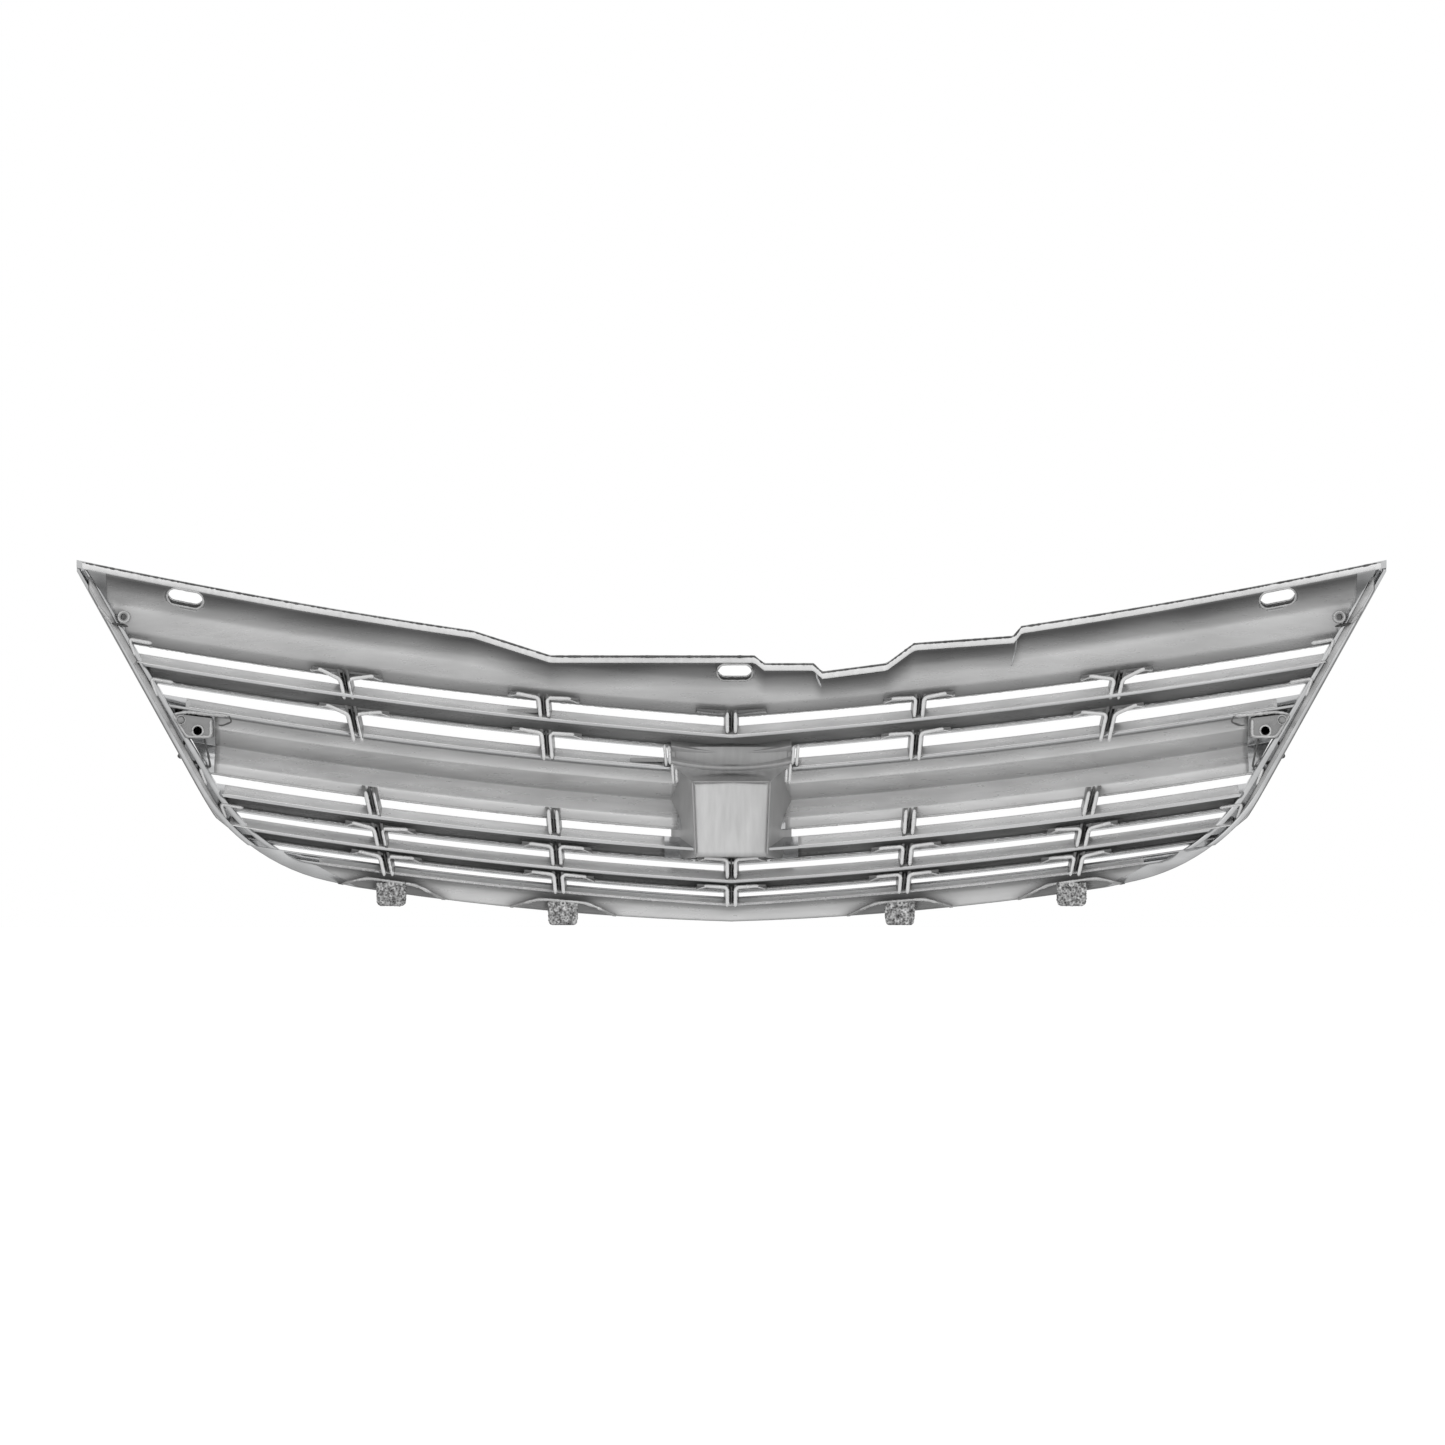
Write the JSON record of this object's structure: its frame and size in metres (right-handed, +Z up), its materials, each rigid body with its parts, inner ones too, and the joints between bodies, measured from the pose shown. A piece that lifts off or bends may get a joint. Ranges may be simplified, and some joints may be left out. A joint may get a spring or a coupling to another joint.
{
  "type": "front grille",
  "caption": "Open-backed chrome car grille with bowed horizontal slats, fanned ribs, a broad middle bar with a badge recess, clip slots along the top and hanging tabs below.",
  "frame": {"origin": "bottom centre of the whole grille, at the foot of the two inner tabs", "axes": "+X along the width, towards the vehicle's left side as seen from behind; -Y forward, out of the car; +Y towards the open back; +Z up"},
  "size_m": [1, 0.1286, 0.2811],
  "materials": {
    "shell_chrome": "bright decorative chrome plating, slightly hazy on the unpolished back",
    "rib_chrome": "the same plating, rippled and thicker along the thin edges",
    "edge_chrome": "bright plated edge with small beads and burrs",
    "satin_chrome": "satin plating with faint vertical flow streaks",
    "bracket_chrome": "thin plating in recesses, darker and a little cloudy",
    "rough_chrome": "crinkled, heavily built-up plating on the clip tongues"
  },
  "bodies": {
    "root": {"arch_inner_left": "edge_chrome", "arch_inner_right": "edge_chrome", "arch_outer_left": "edge_chrome", "arch_outer_right": "edge_chrome", "badge_cup": "satin_chrome", "badge_hood": "satin_chrome", "boss_left": "bracket_chrome", "boss_right": "bracket_chrome", "bracket_left": "bracket_chrome", "bracket_right": "bracket_chrome", "centre_clip_seat": "shell_chrome", "gate_lugs": "edge_chrome", "lower_panel": "shell_chrome", "lower_shelf": "shell_chrome", "main_bar_left": "shell_chrome", "main_bar_right": "shell_chrome", "pin_left": "bracket_chrome", "pin_right": "bracket_chrome", "rib_centre_1": "rib_chrome", "rib_centre_4": "rib_chrome", "rib_centre_5": "rib_chrome", "rib_inner_left_1": "rib_chrome", "rib_inner_left_2": "rib_chrome", "rib_inner_left_3": "rib_chrome", "rib_inner_left_4": "rib_chrome", "rib_inner_left_5": "rib_chrome", "rib_inner_right_1": "rib_chrome", "rib_inner_right_2": "rib_chrome", "rib_inner_right_3": "rib_chrome", "rib_inner_right_4": "rib_chrome", "rib_inner_right_5": "rib_chrome", "rib_outer_left_1": "rib_chrome", "rib_outer_left_2": "rib_chrome", "rib_outer_left_3": "rib_chrome", "rib_outer_left_4": "rib_chrome", "rib_outer_left_5": "rib_chrome", "rib_outer_right_1": "rib_chrome", "rib_outer_right_2": "rib_chrome", "rib_outer_right_3": "rib_chrome", "rib_outer_right_4": "rib_chrome", "rib_outer_right_5": "rib_chrome", "side_frame_left": "shell_chrome", "side_frame_right": "shell_chrome", "slat_1": "shell_chrome", "slat_3_centre": "shell_chrome", "slat_3_inner_left": "shell_chrome", "slat_3_inner_right": "shell_chrome", "slat_3_outer_left": "shell_chrome", "slat_3_outer_right": "shell_chrome", "slat_4": "shell_chrome", "tab_inner_left": "rough_chrome", "tab_inner_right": "rough_chrome", "tab_outer_left": "rough_chrome", "tab_outer_right": "rough_chrome", "top_lip_left": "shell_chrome", "top_lip_right": "shell_chrome", "upper_corner_left": "shell_chrome", "upper_corner_right": "shell_chrome", "upper_panel_left": "shell_chrome", "upper_panel_right": "shell_chrome"}
  },
  "joints": []
}
